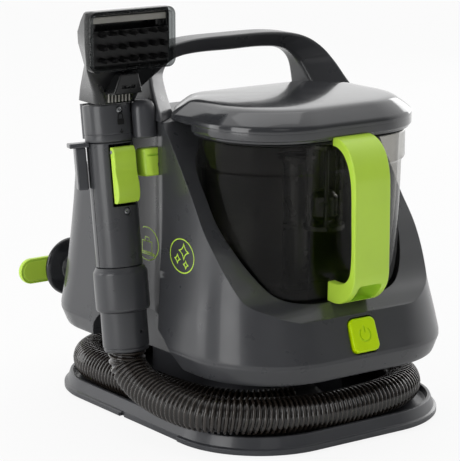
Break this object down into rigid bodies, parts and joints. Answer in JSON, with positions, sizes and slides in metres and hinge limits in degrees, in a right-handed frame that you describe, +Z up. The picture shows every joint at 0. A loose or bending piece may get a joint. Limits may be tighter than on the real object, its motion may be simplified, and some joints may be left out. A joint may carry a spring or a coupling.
{
  "type": "spot extractor",
  "caption": "Upright portable carpet and upholstery washer with a hose wound round its base, a hand tool clipped to its side and a removable smoked tank with a lid.",
  "frame": {"origin": "centre of the footprint box at floor level, under the feet", "axes": "+Z up, -Y towards the front with the power button, +X to the machine's left as seen from behind; the hand tool stands on the -X side"},
  "size_m": [0.305, 0.3756, 0.364],
  "materials": {
    "dark_grey": "glossy moulded dark grey ABS",
    "mid_grey": "glossy moulded grey ABS",
    "black": "black moulded plastic",
    "green": "glossy lime green",
    "button_green": "glossy yellow green",
    "smoked_clear": "smoked clear plastic",
    "clear": "clear plastic",
    "rubber": "matt black rubber",
    "steel": "bright steel",
    "white": "white plastic",
    "circuit_board": "green circuit board",
    "hose_brown": "smoky translucent corrugated hose"
  },
  "bodies": {
    "body": {"base_tray": "mid_grey", "base_pan": "black", "rubber_foot_1": "rubber", "rubber_foot_2": "rubber", "rubber_foot_3": "rubber", "rubber_foot_4": "rubber", "base_screw_1": "steel", "base_screw_2": "steel", "base_screw_3": "steel", "base_screw_4": "steel", "front_shell": "dark_grey", "rear_housing": "dark_grey", "body_chassis": "black", "carry_handle": "dark_grey", "handle_liner": "mid_grey", "motor_body": "steel", "motor_mount_ring": "rubber", "water_pump": "black", "solution_tube": "clear", "suction_duct": "mid_grey", "circuit_board": "circuit_board", "power_switch": "white", "exhaust_grille": "black", "cord_inlet_grommet": "rubber", "left_hook_drum": "black", "right_hook_drum": "black", "tank_port_seal": "rubber", "tool_holder_bracket": "mid_grey", "tool_clip": "green", "hose": "hose_brown", "hose_inlet_connector": "black"},
    "fan": {"motor_fan": "mid_grey"},
    "button": {"power_button": "button_green"},
    "left_hook": {"left_hook_arm": "green"},
    "right_hook": {"right_hook_arm": "green"},
    "clean_tank_body": {"clean_tank": "smoked_clear", "clean_tank_valve": "black"},
    "cap": {"clean_tank_cap": "green"},
    "dirty_tank_body": {"dirty_tank": "smoked_clear", "tank_handle": "green", "riser_duct": "black", "float_cage": "black"},
    "lid": {"tank_lid": "mid_grey", "lid_seal": "rubber"},
    "tank_float": {"float": "white"},
    "tool": {"wand_front_shell": "dark_grey", "wand_rear_shell": "dark_grey", "hose_cuff": "dark_grey", "wand_sleeve": "dark_grey", "wand_collar": "dark_grey", "wand_screw_1": "steel", "wand_screw_2": "steel", "wand_side_block": "mid_grey", "spray_valve": "black", "trigger_pin": "steel"},
    "trigger": {"spray_trigger": "green"},
    "nozzle": {"nozzle_head": "black", "nozzle_hood": "clear", "bristle_plate": "black", "spray_tip": "mid_grey"}
  },
  "joints": [
    {"name": "fan_spin", "type": "hinge", "parent": "body", "child": "fan", "pos_m": [0.026, 0.0162, 0.182], "axis": [0, 0, 1], "continuous": true},
    {"name": "power_button_press", "type": "slide", "parent": "body", "child": "button", "axis": [0, 0.9285, -0.3714], "range_m": [0, 0.002], "stiffness_N_per_m": 400},
    {"name": "left_hook_turn", "type": "hinge", "parent": "body", "child": "left_hook", "pos_m": [-0.04, 0.1842, 0.093], "axis": [0, 1, 0], "range_deg": [0, 90]},
    {"name": "right_hook_turn", "type": "hinge", "parent": "body", "child": "right_hook", "pos_m": [0.092, 0.1842, 0.093], "axis": [0, -1, 0], "range_deg": [0, 90]},
    {"name": "clean_tank_lift", "type": "slide", "parent": "body", "child": "clean_tank_body", "axis": [0, 0, 1], "range_m": [0, 0.1]},
    {"name": "clean_tank_cap_turn", "type": "hinge", "parent": "clean_tank_body", "child": "cap", "pos_m": [0.026, 0.1057, 0.212], "axis": [0, 0, 1], "range_deg": [0, 120]},
    {"name": "dirty_tank_lift", "type": "slide", "parent": "body", "child": "dirty_tank_body", "axis": [0, 0, 1], "range_m": [0, 0.16]},
    {"name": "tank_lid_lift", "type": "slide", "parent": "dirty_tank_body", "child": "lid", "axis": [0, 0, 1], "range_m": [0, 0.04]},
    {"name": "float_rise", "type": "slide", "parent": "dirty_tank_body", "child": "tank_float", "axis": [0, 0, 1], "range_m": [0, 0.034]},
    {"name": "tool_lift", "type": "slide", "parent": "body", "child": "tool", "axis": [0, 0.1323, 0.9912], "range_m": [0, 0.03]},
    {"name": "spray_trigger_squeeze", "type": "hinge", "parent": "tool", "child": "trigger", "pos_m": [-0.114, -0.02419, 0.24297], "axis": [1, 0, 0], "range_deg": [0, 6], "stiffness_Nm_per_rad": 2},
    {"name": "nozzle_release", "type": "slide", "parent": "tool", "child": "nozzle", "axis": [0, 0.1323, 0.9912], "range_m": [0, 0.02]}
  ]
}
